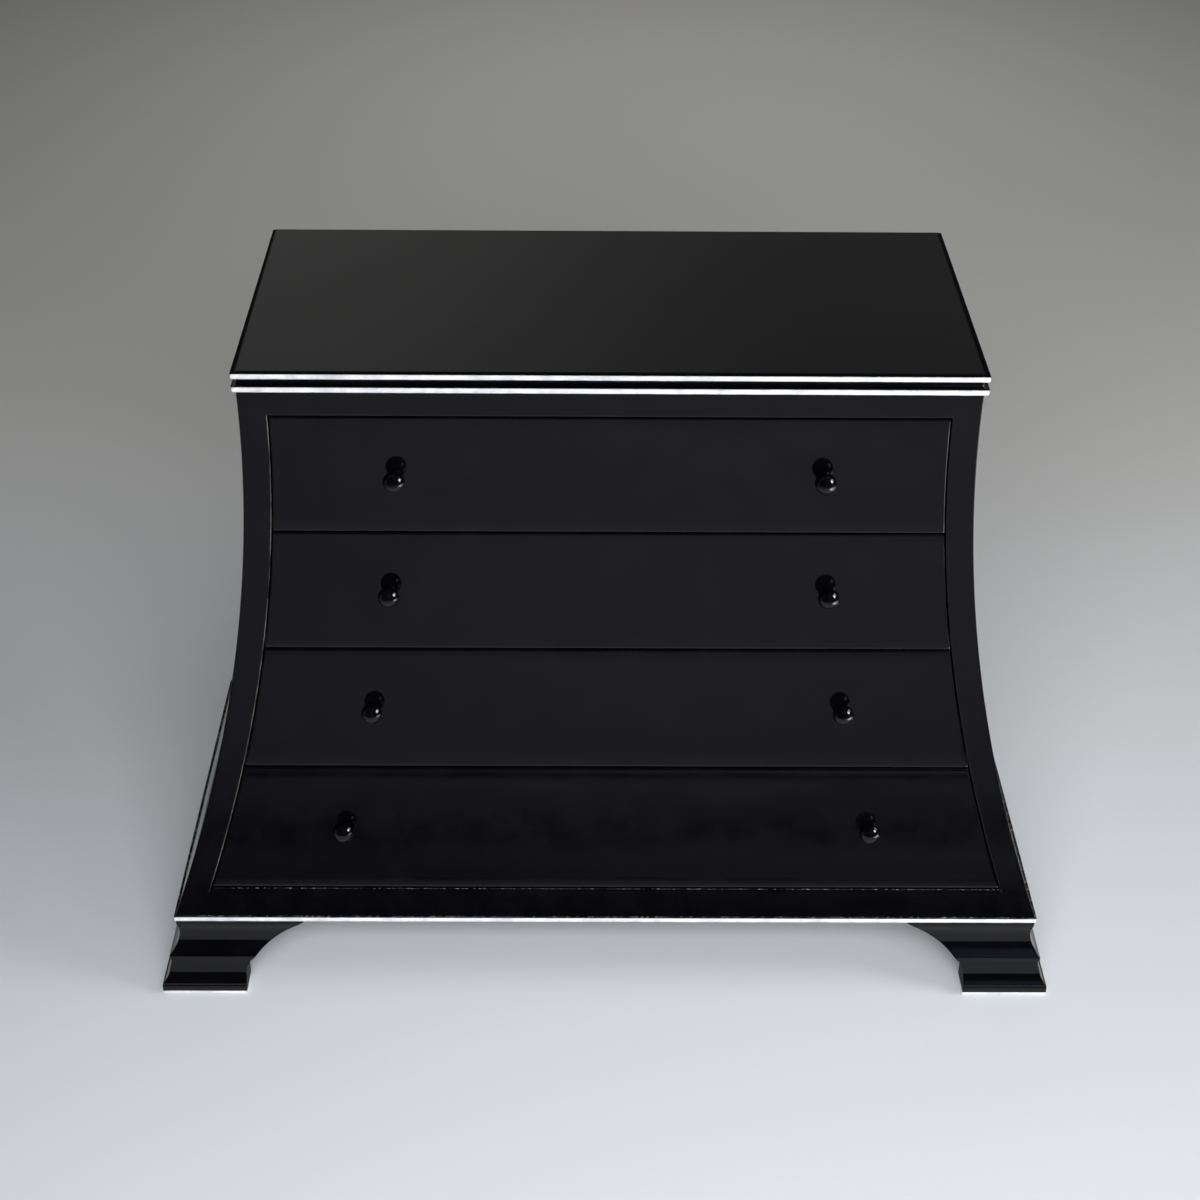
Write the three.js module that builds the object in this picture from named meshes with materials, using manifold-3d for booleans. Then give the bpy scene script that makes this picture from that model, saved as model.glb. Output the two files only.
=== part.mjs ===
// Commode chest with four drawers. Its front and sides flare out towards the floor in one circular sweep,
// over a moulded base on four bracket feet. Silver leafed beads edge the top and the base.
// Millimetres, +Z up, front towards -Y. The origin is on the floor, under the middle of the whole chest.
import * as THREE from "three";
import { mergeVertices } from "three/addons/utils/BufferGeometryUtils.js";
import Module from "manifold-3d";

const wasm = await Module();
wasm.setup();

// Overall sizes
const topWidth = 920; // top board, side to side
const topDepth = 446; // top board, front to back
const flareRadius = 1914; // sweep of the front and of both sides
const waistTuck = 5.6; // narrowest level, inside the edge of the top board
const waistDrop = 49; // narrowest level, below the top of the body
const drawerPitches = [160, 162.5, 163.5, 163.5]; // gap to gap, from the top drawer down

// Clearances
const jointGap = 0.3; // between pieces that are glued or that rest on each other
const drawerGap = 2; // shown round each drawer front
const overrun = 2; // how far a cutter passes the face that it cuts

// Carcass
const topRailHeight = 32.8;
const baseRailHeight = 36.2;
const stileWidth = 35;
const frameThickness = 22; // stiles and rails, front to back
const sideThickness = 20;
const backThickness = 8;
const dividerHeight = 18;
const dividerDepth = 60;
const runnerSeat = 25; // width of runner under the outer edge of a drawer side
const guideHeight = 12; // lip that keeps a drawer straight
const guideWidth = 18;
const guideClearance = 1;
const bottomPanelThickness = 12;

// Edge boards and their beads
const boardLip = 1.6; // black edge above a bead
const lipBevel = 1.2;
const beadHeight = 7.4;
const beadDepth = 6;
const beadNose = 2.6; // how far the bead is rounded out
const neckHeight = 7.8;
const neckRecess = 6;
const neckHollow = 1.6;
const baseLedge = 2.4; // base board, outside the body

// Feet, from the floor up
const soleHeight = 4.5;
const soleInset = 0.8;
const plinthHeight = 8.7;
const plinthStep = 1.2; // plinth, outside the astragal over it
const astragalHeight = 3.7;
const astragalStep = 1.4; // astragal, outside the cove over it
const lowerCoveHeight = 32.5;
const lowerCoveSpread = 10.8;
const arrisHeight = 6;
const arrisStep = 2;
const upperCoveHeight = 45;
const upperCoveSpread = 11.7;
const filletHeight = 6.6;
const footSetback = 1.8; // top of the foot, inside the edge of the base board
const footDepth = 40; // thickness of a foot at its plinth
const plinthLength = 114; // plinth, along the front and along the side
const archSpan = 80; // curved bracket beyond the plinth
const archTip = 1.5; // blunt end of the bracket
const rearBracketThickness = 20;
const upperCoveHollowShare = 0.76; // pull of each cove's control point, as a share of its spread
const lowerCoveHollowShare = -0.08;
const upperCoveDropShare = 0.52; // height of each control point, as a share of its cove
const lowerCoveDropShare = 0.62;
const archEndShare = 0.25; // where the arch turns upright, as a share of the foot's height
const archBendShare = 0.5;

// Drawers
const frontThickness = 20;
const boxSideThickness = 12;
const boxBackThickness = 12;
const boxBottomThickness = 6;
const boxSideDrop = 15; // box sides, below the top of the drawer front
const boxBackDrop = 8; // box back, below the box sides
const boxClearance = 5; // each side, to the narrowest part of the opening
const boxRearClearance = 12;
const grooveHeight = 8; // groove for the bottom, above the lower edge of the box
const grooveDepth = 6;

// Knobs
const knobInset = 154; // from the side of the opening
const ballRadius = 13.5;
const ballStandoff = 20.7; // centre of the ball, off the drawer front
const neckRadius = 4.6;
const collarRadius = 7;
const collarHeight = 1.4;
const spigotRadius = 4;
const spigotLength = 14;
const spigotClearance = 0.3;

// Facets
const bodySteps = 20;
const frontSteps = 8;
const stripSteps = 3;
const coveSteps = 7;
const archSteps = 8;
const noseSteps = 6;
const neckSteps = 5;
const ballSteps = 10;
const roundSteps = 20;

// Heights, from the floor up
const sum = (sizes) => sizes.reduce((total, size) => total + size, 0);
const footBottom = soleHeight + jointGap;
const plinthTop = footBottom + plinthHeight;
const astragalTop = plinthTop + astragalHeight;
const arrisBottom = astragalTop + lowerCoveHeight;
const arrisTop = arrisBottom + arrisHeight;
const filletBottom = arrisTop + upperCoveHeight;
const footTop = filletBottom + filletHeight;
const boardThickness = beadHeight + jointGap + boardLip;
const baseBottom = footTop + jointGap;
const bodyBottom = baseBottom + boardThickness + jointGap;
const baseRailTop = bodyBottom + baseRailHeight;
const topRailBottom = baseRailTop + sum(drawerPitches) + drawerGap;
const bodyTop = topRailBottom + topRailHeight;
const subTopBottom = bodyTop + jointGap;
const neckBottom = subTopBottom + boardThickness + jointGap;
const neckTop = neckBottom + neckHeight;
const topBottom = neckTop + jointGap;
const waistHeight = bodyTop - waistDrop;

// Middle of the gap above drawer 1, then of the gap below each drawer in turn
const gapHeights = [topRailBottom - drawerGap / 2];
drawerPitches.forEach((pitch) => gapHeights.push(gapHeights.at(-1) - pitch));

// Plan. An outset is the distance outside the edge of the top board, the same at the front and at the sides.
const halfTop = topWidth / 2;
const rear = topDepth;
const flare = (z) => flareRadius - Math.sqrt(flareRadius ** 2 - (waistHeight - z) ** 2) - waistTuck;
const lean = (z) => Math.asin((waistHeight - z) / flareRadius); // tilt of the front at a height
const halfBody = (z) => halfTop + flare(z);
const faceY = (z) => -flare(z);
const openingHalf = (z) => halfBody(z) - stileWidth;
const baseOutset = flare(bodyBottom) + baseLedge;
const footOutset = baseOutset - footSetback;
const arrisOutset = footOutset + upperCoveSpread;
const lowerCoveOutset = arrisOutset - arrisStep;
const astragalFoot = lowerCoveOutset + lowerCoveSpread;
const astragalOutset = astragalFoot + astragalStep;
const plinthOutset = astragalOutset + plinthStep;
const footInner = plinthOutset - footDepth;
const plinthEnd = plinthOutset - plinthLength;
const bracketEnd = plinthEnd - archSpan;
const boxRear = rear - backThickness - boxRearClearance;

// Finishes
const lacquer = () =>
  new THREE.MeshStandardMaterial({ color: 0x1b1b1f, roughness: 0.12, metalness: 0, flatShading: true });
const silverLeaf = () =>
  new THREE.MeshStandardMaterial({ color: 0xd3d6da, roughness: 0.35, metalness: 0.9, flatShading: true });
const stainedWood = () =>
  new THREE.MeshStandardMaterial({ color: 0x4a3a2c, roughness: 0.6, metalness: 0, flatShading: true });
const drawerWood = () =>
  new THREE.MeshStandardMaterial({ color: 0xb08a5e, roughness: 0.55, metalness: 0, flatShading: true });

function named(name, geometry, material) {
  const mesh = new THREE.Mesh(geometry, material);
  mesh.name = name;
  return mesh;
}

// Turns the faces of a closed shell outwards.
function facingOut(geometry) {
  const points = geometry.getAttribute("position");
  const index = geometry.index.array;
  const [a, b, c] = [new THREE.Vector3(), new THREE.Vector3(), new THREE.Vector3()];
  let volume = 0;
  for (let i = 0; i < index.length; i += 3) {
    a.fromBufferAttribute(points, index[i]);
    b.fromBufferAttribute(points, index[i + 1]);
    c.fromBufferAttribute(points, index[i + 2]);
    volume += a.dot(b.cross(c));
  }
  if (volume < 0) index.reverse();
  geometry.computeVertexNormals();
  return geometry;
}

// A closed shell through rings of points, all in the order of one outline, with its two ends filled.
function loft(rings, outline) {
  const count = outline.length;
  const clockwise = THREE.ShapeUtils.isClockWise(outline);
  const order = [...outline.keys()];
  if (clockwise) order.reverse();
  const positions = rings.flatMap((ring) => order.flatMap((i) => ring[i].toArray()));
  const index = [];
  for (let level = 0; level + 1 < rings.length; level++) {
    const [near, far] = [level * count, (level + 1) * count];
    for (let i = 0; i < count; i++) {
      const next = (i + 1) % count;
      index.push(near + i, near + next, far + next);
      index.push(near + i, far + next, far + i);
    }
  }
  const ends = THREE.ShapeUtils.triangulateShape(
    order.map((i) => outline[i]),
    [],
  );
  const last = (rings.length - 1) * count;
  ends.forEach(([a, b, c]) => index.push(c, b, a, last + a, last + b, last + c));
  const geometry = new THREE.BufferGeometry();
  geometry.setAttribute("position", new THREE.Float32BufferAttribute(positions, 3));
  geometry.setIndex(index);
  return facingOut(geometry);
}

// A board whose four edges may move with the height.
function board(heights, extent) {
  const rings = heights.map((z, level) => {
    const { left, right, front, back } = extent(z, level);
    return [
      new THREE.Vector3(left, front, z),
      new THREE.Vector3(right, front, z),
      new THREE.Vector3(right, back, z),
      new THREE.Vector3(left, back, z),
    ];
  });
  return loft(
    rings,
    rings[0].map((p) => new THREE.Vector2(p.x, p.y)),
  );
}

const levels = (bottom, top, steps) =>
  Array.from({ length: steps + 1 }, (_, i) => THREE.MathUtils.lerp(bottom, top, i / steps));

function block(left, right, front, back, bottom, top) {
  return board([bottom, top], () => ({ left, right, front, back }));
}

// A board over the whole plan, given as [height, outset] pairs and flush at the rear.
function planBoard(steps) {
  return board(
    steps.map(([z]) => z),
    (z, level) => {
      const outset = steps[level][1];
      return { left: -halfTop - outset, right: halfTop + outset, front: -outset, back: rear };
    },
  );
}

// A section of [outset, height] points, run through stations that turn an outset into a point in plan.
function run(section, stations) {
  const rings = stations.map((station) =>
    section.map(([outset, z]) => new THREE.Vector3(...station(outset), z)),
  );
  return loft(
    rings,
    section.map(([outset, z]) => new THREE.Vector2(outset, z)),
  );
}

function solid(geometry) {
  const plain = new THREE.BufferGeometry();
  plain.setAttribute("position", geometry.getAttribute("position"));
  plain.setIndex(geometry.index);
  const merged = mergeVertices(plain);
  return new wasm.Manifold(
    new wasm.Mesh({
      numProp: 3,
      vertProperties: merged.getAttribute("position").array,
      triVerts: new Uint32Array(merged.index.array),
    }),
  );
}

function fromSolid(made) {
  const mesh = made.getMesh();
  const geometry = new THREE.BufferGeometry();
  geometry.setAttribute("position", new THREE.Float32BufferAttribute(mesh.vertProperties, 3));
  geometry.setIndex([...mesh.triVerts]);
  geometry.computeVertexNormals();
  return geometry;
}

const cut = (geometry, cutters) =>
  fromSolid(cutters.reduce((made, cutter) => made.subtract(solid(cutter)), solid(geometry)));
const join = (first, others) =>
  fromSolid(others.reduce((made, other) => made.add(solid(other)), solid(first)));

const bezier = (points, steps) =>
  new THREE.QuadraticBezierCurve(...points.map(([x, y]) => new THREE.Vector2(x, y)))
    .getPoints(steps)
    .map((p) => [p.x, p.y]);

// Edge boards: a thin black lip over a rebate that takes the bead
function edgeBoard(name, bottom, outset) {
  const rebate = outset - beadDepth - jointGap;
  const lipBottom = bottom + beadHeight + jointGap;
  const top = bottom + boardThickness;
  const geometry = planBoard([
    [bottom, rebate],
    [lipBottom, rebate],
    [lipBottom, outset],
    [top - lipBevel, outset],
    [top, outset - lipBevel],
  ]);
  return named(name, geometry, lacquer());
}

// Rounded bead on the front and both sides, mitred at the front corners
function edgeBead(name, bottom, outset) {
  const nose = levels(-Math.PI / 2, Math.PI / 2, noseSteps).map((angle) => [
    outset - beadNose + beadNose * Math.cos(angle),
    bottom + (beadHeight / 2) * (1 + Math.sin(angle)),
  ]);
  const section = [[outset - beadDepth, bottom], ...nose, [outset - beadDepth, bottom + beadHeight]];
  const geometry = run(section, [
    (o) => [-halfTop - o, rear],
    (o) => [-halfTop - o, -o],
    (o) => [halfTop + o, -o],
    (o) => [halfTop + o, rear],
  ]);
  return named(name, geometry, silverLeaf());
}

// Hollow neck between the two boards of the top
function topNeck() {
  const heights = levels(neckBottom, neckTop, neckSteps);
  const steps = heights.map((z, i) => [z, -neckRecess - neckHollow * Math.sin((Math.PI * i) / neckSteps)]);
  return named("top_neck", planBoard(steps), lacquer());
}

function addTop(group) {
  group.add(edgeBoard("top_board", topBottom, 0));
  group.add(edgeBead("top_bead", topBottom, 0));
  group.add(topNeck());
  group.add(edgeBoard("sub_top", subTopBottom, 0));
  group.add(edgeBead("sub_top_bead", subTopBottom, 0));
}

function addBase(group) {
  group.add(edgeBoard("base_board", baseBottom, baseOutset));
  group.add(edgeBead("base_bead", baseBottom, baseOutset));
}

// Puts an extent on the left or on the right of the middle.
function onSide(side, inner, outer, front, back) {
  const [left, right] = side < 0 ? [-outer, -inner] : [inner, outer];
  return { left, right, front, back };
}

function sideWalls(group, side, word) {
  const heights = levels(bodyBottom, bodyTop, bodySteps);
  const wall = board(heights, (z) =>
    onSide(side, halfBody(z) - sideThickness, halfBody(z), faceY(z) + frameThickness + jointGap, rear),
  );
  group.add(named(`side_${word}`, wall, lacquer()));
  const stile = board(heights, (z) =>
    onSide(side, openingHalf(z), halfBody(z), faceY(z), faceY(z) + frameThickness),
  );
  group.add(named(`stile_${word}`, stile, lacquer()));
}

function frameRail(name, bottom, top) {
  const geometry = board(levels(bottom, top, stripSteps), (z) => ({
    left: jointGap - openingHalf(z),
    right: openingHalf(z) - jointGap,
    front: faceY(z),
    back: faceY(z) + frameThickness,
  }));
  return named(name, geometry, lacquer());
}

const innerHalf = (z) => halfBody(z) - sideThickness - jointGap;
const behindFrame = (z) => faceY(z) + frameThickness + jointGap;
const runnerRear = rear - backThickness - jointGap;

function backPanel() {
  const geometry = board(levels(bodyBottom, bodyTop, bodySteps), (z) => ({
    left: -innerHalf(z),
    right: innerHalf(z),
    front: rear - backThickness,
    back: rear,
  }));
  return named("back_panel", geometry, stainedWood());
}

// Rail behind the gap between two drawer fronts
const dividerBack = (gap) => behindFrame(gap) + dividerDepth;

function dividerRail(number, gap) {
  const heights = levels(gap - dividerHeight / 2, gap + dividerHeight / 2, stripSteps);
  const geometry = board(heights, (z) => ({
    left: -innerHalf(z),
    right: innerHalf(z),
    front: behindFrame(z),
    back: dividerBack(gap),
  }));
  return named(`divider_rail_${number}`, geometry, stainedWood());
}

// Where a drawer box lies between what carries it and the top of its front
function boxOf(number) {
  const lowest = number === drawerPitches.length;
  const support = lowest ? baseRailTop : gapHeights[number] + dividerHeight / 2;
  const bottom = support + jointGap;
  const top = gapHeights[number - 1] - drawerGap / 2 - boxSideDrop;
  const narrowest = THREE.MathUtils.clamp(waistHeight, bottom, top);
  return { support, bottom, top, half: openingHalf(narrowest) - boxClearance };
}

// Runner with an upright lip beside the drawer, fitted to the curve of the side
function runner(number, side, word) {
  const gap = gapHeights[number];
  const { support, half } = boxOf(number);
  const outer = levels(gap - dividerHeight / 2, support + guideHeight, stripSteps);
  const section = [
    [half - runnerSeat, gap - dividerHeight / 2],
    ...outer.map((z) => [innerHalf(z), z]),
    [half + guideClearance, support + guideHeight],
    [half + guideClearance, support],
    [half - runnerSeat, support],
  ];
  const geometry = run(section, [
    (x) => [side * x, dividerBack(gap) + jointGap],
    (x) => [side * x, runnerRear],
  ]);
  return named(`runner_${word}_${number}`, geometry, stainedWood());
}

// Board that carries the lowest drawer, with a guide on each side
function bottomPanel() {
  const { support, half } = boxOf(drawerPitches.length);
  const panel = board(levels(support - bottomPanelThickness, support, stripSteps), (z) => ({
    left: -innerHalf(z),
    right: innerHalf(z),
    front: behindFrame(z),
    back: runnerRear,
  }));
  const guideInner = half + guideClearance;
  const guides = [-1, 1].map((side) =>
    board([support - overrun, support + guideHeight], () =>
      onSide(side, guideInner, guideInner + guideWidth, behindFrame(support + guideHeight), runnerRear),
    ),
  );
  return named("bottom_panel", join(panel, guides), stainedWood());
}

function addCarcass(group) {
  [
    [-1, "left"],
    [1, "right"],
  ].forEach(([side, word]) => {
    sideWalls(group, side, word);
    gapHeights.slice(1, -1).forEach((_, i) => group.add(runner(i + 1, side, word)));
  });
  group.add(frameRail("top_rail", topRailBottom, bodyTop));
  group.add(frameRail("base_rail", bodyBottom, baseRailTop));
  group.add(backPanel(), bottomPanel());
  gapHeights.slice(1, -1).forEach((gap, i) => group.add(dividerRail(i + 1, gap)));
}

// Moulded face of a foot as [outset, height] points, closed by its upright inner face
function footSection() {
  const upperCove = bezier(
    [
      [footOutset, filletBottom],
      [footOutset - upperCoveSpread * upperCoveHollowShare, filletBottom - upperCoveHeight * upperCoveDropShare],
      [arrisOutset, arrisTop],
    ],
    coveSteps,
  );
  const lowerCove = bezier(
    [
      [lowerCoveOutset, arrisBottom],
      [
        lowerCoveOutset - lowerCoveSpread * lowerCoveHollowShare,
        arrisBottom - lowerCoveHeight * lowerCoveDropShare,
      ],
      [astragalFoot, astragalTop],
    ],
    coveSteps,
  );
  return [
    [footInner, footTop],
    [footOutset, footTop],
    ...upperCove,
    [arrisOutset, arrisBottom],
    ...lowerCove,
    [astragalOutset, astragalTop],
    [astragalOutset, plinthTop],
    [plinthOutset, plinthTop],
    [plinthOutset, footBottom],
    [footInner, footBottom],
  ];
}

// Opening under a bracket, as [outset along the leg, height] points
function archOutline() {
  const height = footTop - footBottom;
  const arch = bezier(
    [
      [plinthEnd, footBottom + height * archEndShare],
      [plinthEnd, footBottom + height * archBendShare],
      [bracketEnd, footTop - archTip],
    ],
    archSteps,
  );
  return [
    [plinthEnd, footBottom - overrun],
    ...arch,
    [bracketEnd - overrun, footTop - archTip],
    [bracketEnd - overrun, footBottom - overrun],
  ];
}

// Leg along the front and leg along the side, mitred, each ending at an outset
const frontLegs = (section, side, end) =>
  run(section, [
    (o) => [side * (halfTop + end), -o],
    (o) => [side * (halfTop + o), -o],
    (o) => [side * (halfTop + o), -end],
  ]);

// Leg along the side and plain board along the rear
function rearLegs(section, side, length, inner, end, bottom, top) {
  const leg = run(section, [
    (o) => [side * (halfTop + o), rear - length],
    (o) => [side * (halfTop + o), rear],
  ]);
  const brace = board([bottom, top], () =>
    onSide(side, halfTop + end, halfTop + inner + overrun, rear - rearBracketThickness, rear),
  );
  return join(leg, [brace]);
}

// Cuts the arches out of the front or rear leg and out of the side leg of a foot.
function arched(geometry, side, legFront, legBack, sideOrigin, direction) {
  const outline = archOutline();
  const across = run(outline, [
    (s) => [side * (halfTop + s), legFront - overrun],
    (s) => [side * (halfTop + s), legBack + overrun],
  ]);
  const along = run(outline, [
    (s) => [side * (halfTop + footInner - overrun), sideOrigin + direction * s],
    (s) => [side * (halfTop + plinthOutset + overrun), sideOrigin + direction * s],
  ]);
  return cut(geometry, [across, along]);
}

function soleSection() {
  const [inner, outer] = [footInner + soleInset, plinthOutset - soleInset];
  return [
    [inner, 0],
    [outer, 0],
    [outer, soleHeight],
    [inner, soleHeight],
  ];
}

function addFeet(group) {
  const rearLength = plinthLength + archSpan;
  [
    [-1, "left"],
    [1, "right"],
  ].forEach(([side, word]) => {
    const front = frontLegs(footSection(), side, bracketEnd);
    const frontArched = arched(front, side, -plinthOutset, -footInner, 0, -1);
    group.add(named(`foot_front_${word}`, frontArched, lacquer()));
    group.add(named(`foot_sole_front_${word}`, frontLegs(soleSection(), side, plinthEnd), silverLeaf()));

    const back = rearLegs(footSection(), side, rearLength, footInner, bracketEnd, footBottom, footTop);
    const backArched = arched(back, side, rear - rearBracketThickness, rear, rear - plinthOutset, 1);
    group.add(named(`foot_back_${word}`, backArched, lacquer()));
    const sole = rearLegs(
      soleSection(),
      side,
      plinthLength,
      footInner + soleInset,
      plinthEnd,
      0,
      soleHeight,
    );
    group.add(named(`foot_sole_back_${word}`, sole, silverLeaf()));
  });
}

// Turned knob about its own +Y, with the face of the drawer at zero
function knobGeometry() {
  const start = Math.asin(neckRadius / ballRadius);
  const ball = levels(start, Math.PI, ballSteps).map(
    (angle) => new THREE.Vector2(ballRadius * Math.sin(angle), ballStandoff - ballRadius * Math.cos(angle)),
  );
  ball.at(-1).x = 0;
  const profile = [
    new THREE.Vector2(0, -spigotLength),
    new THREE.Vector2(spigotRadius, -spigotLength),
    new THREE.Vector2(spigotRadius, jointGap),
    new THREE.Vector2(collarRadius, jointGap),
    new THREE.Vector2(collarRadius, collarHeight),
    new THREE.Vector2(neckRadius, collarHeight + collarRadius - neckRadius),
    ...ball,
  ];
  return new THREE.LatheGeometry(profile, roundSteps);
}

function spigotHole(x, z) {
  const depth = spigotLength + 2 * overrun;
  const radius = spigotRadius + spigotClearance;
  const hole = new THREE.CylinderGeometry(radius, radius, depth, roundSteps);
  hole.translate(0, overrun - depth / 2, 0);
  hole.rotateX(Math.PI - lean(z));
  hole.translate(x, faceY(z), z);
  hole.deleteAttribute("normal");
  hole.deleteAttribute("uv");
  return mergeVertices(hole);
}

// Front, box and knobs of one drawer
function drawer(number) {
  const group = new THREE.Group();
  const name = `drawer_${number}`;
  const box = boxOf(number);
  const top = gapHeights[number - 1] - drawerGap / 2;
  const bottom = gapHeights[number] + drawerGap / 2;
  const middle = (top + bottom) / 2;
  const knobX = openingHalf(middle) - knobInset;
  const grooveBottom = box.bottom + grooveHeight;
  const panelBottom = grooveBottom + jointGap;
  const panelTop = panelBottom + boxBottomThickness;
  const grooveFront = faceY(grooveBottom) + frontThickness - grooveDepth;
  const grooveHalf = box.half - boxSideThickness + grooveDepth;
  const groove = block(-grooveHalf, grooveHalf, grooveFront, rear, grooveBottom, panelTop + jointGap);

  const front = board(levels(bottom, top, frontSteps), (z) => ({
    left: drawerGap - openingHalf(z),
    right: openingHalf(z) - drawerGap,
    front: faceY(z),
    back: faceY(z) + frontThickness,
  }));
  const holes = [-knobX, knobX].map((x) => spigotHole(x, middle));
  group.add(named(`${name}_front`, cut(front, [groove, ...holes]), lacquer()));

  [
    [-1, "left"],
    [1, "right"],
  ].forEach(([side, word]) => {
    const wall = board(levels(box.bottom, box.top, frontSteps), (z) =>
      onSide(side, box.half - boxSideThickness, box.half, faceY(z) + frontThickness + jointGap, boxRear),
    );
    group.add(named(`${name}_side_${word}`, cut(wall, [groove]), drawerWood()));
    const knob = named(`${name}_knob_${word}`, knobGeometry(), lacquer());
    knob.position.set(side * knobX, faceY(middle), middle);
    knob.rotation.x = Math.PI - lean(middle);
    group.add(knob);
  });

  const backHalf = box.half - boxSideThickness - jointGap;
  const backTop = box.top - boxBackDrop;
  const back = block(-backHalf, backHalf, boxRear - boxBackThickness, boxRear, panelTop + jointGap, backTop);
  group.add(named(`${name}_back`, back, drawerWood()));

  const panelHalf = grooveHalf - jointGap;
  const panel = block(-panelHalf, panelHalf, grooveFront + jointGap, boxRear, panelBottom, panelTop);
  group.add(named(`${name}_bottom`, panel, drawerWood()));
  return group;
}

const assembly = new THREE.Group();
addTop(assembly);
addCarcass(assembly);
addBase(assembly);
addFeet(assembly);
drawerPitches.forEach((_, i) => assembly.add(drawer(i + 1)));

// Half way between the front of the plinths and the rear
assembly.position.y = -(rear - plinthOutset) / 2;

const chest = new THREE.Group();
chest.add(assembly);

export default chest;
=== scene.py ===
"""Commode chest with four drawers, in polished black lacquer with silver leafed edges.

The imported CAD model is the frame, and the pieces here dress it. Lengths are metres: +X to the right,
+Y towards the back, +Z up from the floor. The drawer fronts face -Y.
"""

import math
from functools import partial
from itertools import accumulate

import bmesh
import bpy
from bpy.props import FloatProperty, FloatVectorProperty, PointerProperty
from bpy.types import Operator, Panel, PropertyGroup
from mathutils import Matrix, Vector, noise

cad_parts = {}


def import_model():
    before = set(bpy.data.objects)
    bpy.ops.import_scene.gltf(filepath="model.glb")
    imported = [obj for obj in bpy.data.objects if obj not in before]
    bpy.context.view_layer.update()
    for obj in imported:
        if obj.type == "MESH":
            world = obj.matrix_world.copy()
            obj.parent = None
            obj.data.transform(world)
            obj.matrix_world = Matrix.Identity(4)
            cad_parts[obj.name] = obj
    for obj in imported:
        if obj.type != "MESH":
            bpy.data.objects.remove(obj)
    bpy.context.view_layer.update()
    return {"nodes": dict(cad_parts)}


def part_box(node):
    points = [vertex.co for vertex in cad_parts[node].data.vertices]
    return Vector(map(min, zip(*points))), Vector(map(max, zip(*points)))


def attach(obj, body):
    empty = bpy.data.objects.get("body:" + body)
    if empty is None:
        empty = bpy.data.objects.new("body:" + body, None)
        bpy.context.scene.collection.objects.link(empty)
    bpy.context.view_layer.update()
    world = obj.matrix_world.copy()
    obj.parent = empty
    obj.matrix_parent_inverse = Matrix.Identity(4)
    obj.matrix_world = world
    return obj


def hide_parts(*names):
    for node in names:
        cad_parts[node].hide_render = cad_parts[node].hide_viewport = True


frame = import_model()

bl_info = {
    "name": "Commode chest of drawers",
    "version": (1, 0, 0),
    "blender": (4, 5, 0),
    "location": "3D View > Sidebar > Commode",
    "description": "Builds a lacquered commode chest with silver leafed edges over its CAD frame",
    "category": "Object",
}

SIDES = ((-1, "left"), (1, "right"))
DRAWERS = (1, 2, 3, 4)

EASE_STEPS = 3  # facets round an eased edge
EASE_TURN = math.radians(20)  # an outline that turns by less than this is part of a curve
SHARP_TURN = math.radians(38)  # an edge that turns by more than this is shaded sharp
BEVEL_TURN = math.radians(50)  # an edge that turns by more than this is taken by a bevel
WELD = 2e-6  # points closer than this are one point
MARGIN = 0.002  # flat surface beside an easing, which keeps the broad faces true
NEARLY = 0.001  # a leg's face is told by its place to within this, and a bracket enters its leg by it
LEG_BEVEL = 0.0005  # easing of a leg's edges
SOLE_EASING = 0.0007
UPWARD = 0.6  # a face whose normal rises by more than this is on top
ASLANT = 0.2  # a face whose normal has more than this along two axes is on a rounded arris
SLIGHT = 0.1  # a face whose normal has less than this along an axis doesn't look that way
BACKWARD = 0.8  # a face whose normal has more than this along Y is a flat back
SQUARE = (0, 0, 0, 0)  # corner roundings of a plank with none

LACQUER = "polished_black_lacquer"
# Painted highlight on the left stile's inner arris: a full pale film in the colour of the dust
PAINTED_GLINT = "rubbed_black_lacquer"
# Pale chips on the base ledge and the base rail's arris, which are also a painted highlight where these
# edges catch light
CHIPS_AND_GLINT = "chipped_black_lacquer"
LEAF = "silver_leaf_on_bole"
PAINT = "brushed_black_paint"
UNDER_FOOT = ("stained_poplar_x", PAINT)  # on a leg's inner face, and on its arch and ends


def lowest(node):
    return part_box(node)[0]


def highest(node):
    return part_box(node)[1]


def heights_of(node):
    return lowest(node).z, highest(node).z


def linear(hex_colour):
    """An sRGB hex colour as linear red, green, blue and alpha."""
    values = [int(hex_colour[i : i + 2], 16) / 255 for i in (1, 3, 5)]
    return [v / 12.92 if v <= 0.04045 else ((v + 0.055) / 1.055) ** 2.4 for v in values] + [1.0]


def length(name, description, default):
    return FloatProperty(
        name=name, description=description, default=default, precision=4, unit="LENGTH", subtype="DISTANCE"
    )


def share(name, description, default):
    return FloatProperty(
        name=name, description=description, default=default, min=-1, max=1, subtype="FACTOR"
    )


def colour(name, description, default):
    return FloatVectorProperty(
        name=name, description=description, default=linear(default), size=4, min=0, max=1, subtype="COLOR"
    )


def power(name, description, default):
    return FloatProperty(name=name, description=description, default=default, min=0, unit="POWER")


class CaseSizes(PropertyGroup):
    """Sizes of the case and of the sweep of its front and sides"""

    half_top: length("Half width of top", "Middle of the chest to the top's edge", highest("top_board").x)
    front: length("Front of top", "Place of the top board's front edge, along Y", lowest("top_board").y)
    rear: length("Rear", "Place of the flat back, along Y", highest("top_board").y)
    bottom: length("Bottom of case", "Height of the case's lower end", lowest("side_left").z)
    top: length("Top of case", "Height of the case's upper end", highest("side_left").z)
    sweep_radius: length("Sweep radius", "Radius of the flaring front and sides", 1.914)
    waist_drop: length("Waist drop", "Narrowest level, below the top of the case", 0.049)
    waist_tuck: length("Waist tuck", "Narrowest level, inside the edge of the top board", 0.0056)
    stile: length("Stile width", "Width of the frame on each side of the drawers", 0.035)
    frame_depth: length("Frame depth", "Stiles and rails, front to back", 0.022)
    side: length("Side thickness", "Thickness of the sides", 0.020)
    corner: length("Corner rounding", "Rounding of the front corners of the case", 0.0012)
    arris: length("Arris rounding", "Rounding of the edges round the drawer openings", 0.0009)


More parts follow.
